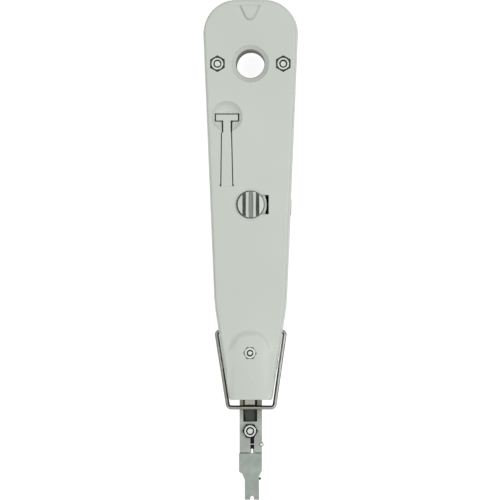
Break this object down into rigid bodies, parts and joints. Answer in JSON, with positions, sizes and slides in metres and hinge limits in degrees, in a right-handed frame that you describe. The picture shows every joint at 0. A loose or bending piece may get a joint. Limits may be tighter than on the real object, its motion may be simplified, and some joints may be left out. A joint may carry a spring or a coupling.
{
  "type": "punch down tool",
  "caption": "Punch down tool with a moulded handle, a sprung insertion head with a wire cutter, a wire bail, a slide switch, a release tongue and a fold-out hook and blade.",
  "frame": {"origin": "centre of the bounding box in X and Y, on the surface the tool lies on", "axes": "X across the handle, +Y along the tool from the blade tip to the hanging hole, +Z out of the front face"},
  "size_m": [0.0338, 0.178, 0.0222],
  "materials": {
    "handle_plastic": "fine-grained moulded ABS",
    "knob_plastic": "moulded ABS",
    "key_plastic": "moulded POM",
    "plated_steel": "bright zinc plate",
    "blade_steel": "tumbled stainless steel",
    "head_steel": "tumbled stainless steel",
    "wire_steel": "drawn steel wire",
    "spring_steel": "drawn spring wire",
    "dark_steel": "oiled hardened steel"
  },
  "bodies": {
    "handle": {"front_shell": "handle_plastic", "rear_shell": "handle_plastic", "tool_pivot_screws": "plated_steel", "tool_pivot_nuts": "plated_steel", "pivot_sleeves": "plated_steel", "pivot_washers": "plated_steel", "detent_spring": "spring_steel", "cam_pin": "plated_steel", "guide_key": "key_plastic", "nose_screw": "plated_steel", "nose_nut": "plated_steel", "spring_seat": "head_steel", "rod_guide": "key_plastic", "main_spring": "spring_steel"},
    "head": {"head_channel": "head_steel", "head_back_plate": "dark_steel", "head_rivets": "plated_steel", "head_spacers": "plated_steel", "insertion_blade": "blade_steel", "blade_pins": "plated_steel", "cutter_screw": "plated_steel", "cutter_nut": "plated_steel", "cutter_bush": "plated_steel", "cross_pin": "plated_steel", "plunger_rod": "head_steel", "plunger_collar": "head_steel"},
    "cutter": {"cutter_lever": "dark_steel"},
    "bail": {"wire_bail": "wire_steel"},
    "hook": {"wire_hook": "blade_steel"},
    "folding_blade": {"release_blade": "blade_steel"},
    "switch": {"switch_knob": "knob_plastic", "switch_plate": "head_steel", "switch_rivet": "plated_steel"},
    "tongue": {"release_tongue": "handle_plastic"}
  },
  "joints": [
    {"name": "head_slide", "type": "slide", "parent": "handle", "child": "head", "axis": [0, 1, 0], "range_m": [0, 0.005], "stiffness_N_per_m": 4000, "springref_m": -0.003, "deforming": ["main_spring"]},
    {"name": "cutter_turn", "type": "hinge", "parent": "head", "child": "cutter", "pos_m": [-0.00015, -0.06435, 0.0088], "axis": [0, 0, -1], "range_deg": [0, 7]},
    {"name": "bail_swing", "type": "hinge", "parent": "handle", "child": "bail", "pos_m": [0, -0.029, 0.01], "axis": [-1, 0, 0], "range_deg": [0, 30]},
    {"name": "hook_swing", "type": "hinge", "parent": "handle", "child": "hook", "pos_m": [-0.01164, 0.06586, 0.01], "axis": [0, 0, -1], "range_deg": [0, 160]},
    {"name": "blade_swing", "type": "hinge", "parent": "handle", "child": "folding_blade", "pos_m": [0.01164, 0.06586, 0.01], "axis": [0, 0, 1], "range_deg": [0, 160]},
    {"name": "switch_slide", "type": "slide", "parent": "handle", "child": "switch", "axis": [1, 0, 0], "range_m": [0, 0.0029]},
    {"name": "tongue_press", "type": "hinge", "parent": "handle", "child": "tongue", "pos_m": [-0.00826, 0.0229, 0.019], "axis": [-1, 0, 0], "range_deg": [0, 3.5], "stiffness_Nm_per_rad": 0.5}
  ],
  "couplings": [
    {"joint": "cutter_turn", "follows": "head_slide", "rad_per_m": 20.94}
  ]
}
